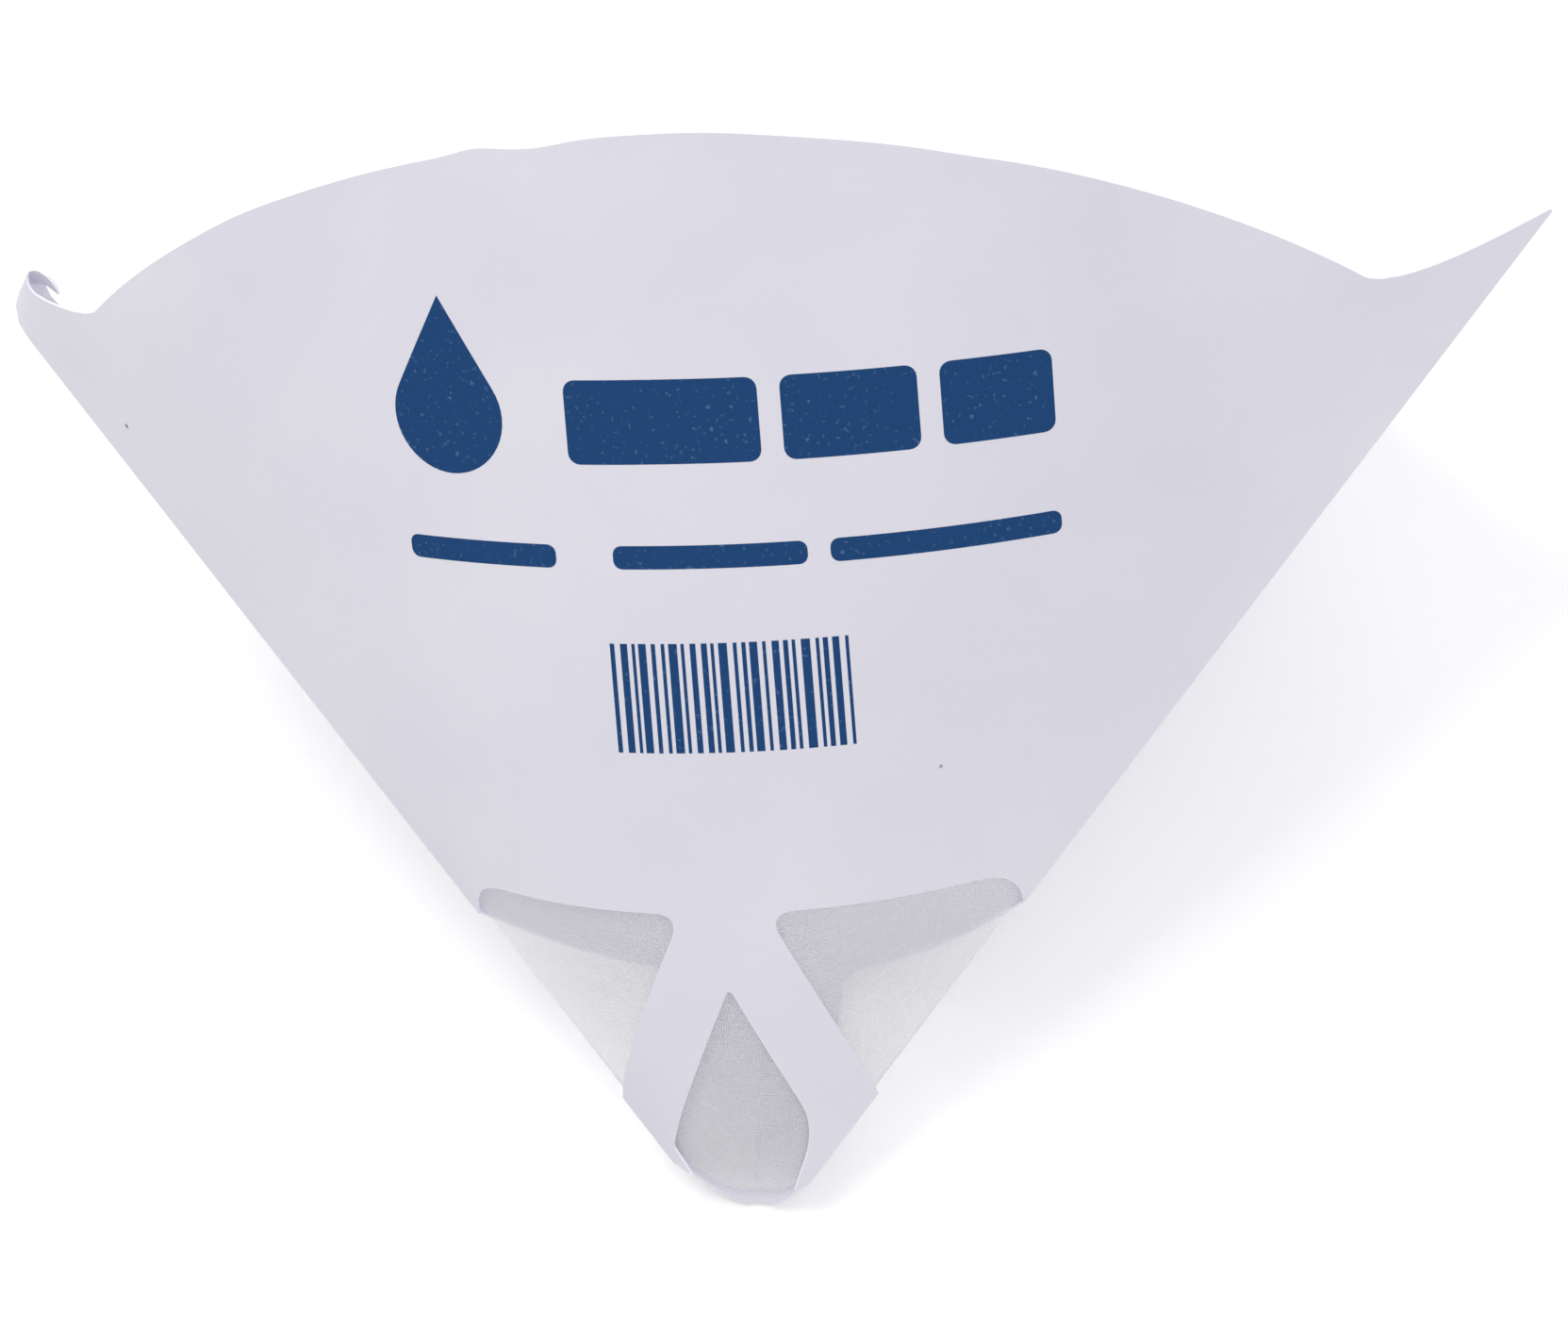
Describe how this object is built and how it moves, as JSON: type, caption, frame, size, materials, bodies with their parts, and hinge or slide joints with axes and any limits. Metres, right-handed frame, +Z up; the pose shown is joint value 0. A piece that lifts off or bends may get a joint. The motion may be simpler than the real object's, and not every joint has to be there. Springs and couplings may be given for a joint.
{
  "type": "paint strainer",
  "caption": "Paper cone paint strainer with a nylon mesh behind its windows, lying squeezed half open on its back wall.",
  "frame": {"origin": "bottom centre of the bounding box, on the surface that the back wall lies on", "axes": "+Z up, +Y towards the mouth, +X towards the ear that stands straight"},
  "size_m": [0.2086, 0.1482, 0.1101],
  "materials": {
    "card": "matte",
    "nylon_mesh": "satin"
  },
  "bodies": {
    "root": {"card_cone": "card", "mesh_liner": "nylon_mesh"}
  },
  "joints": []
}
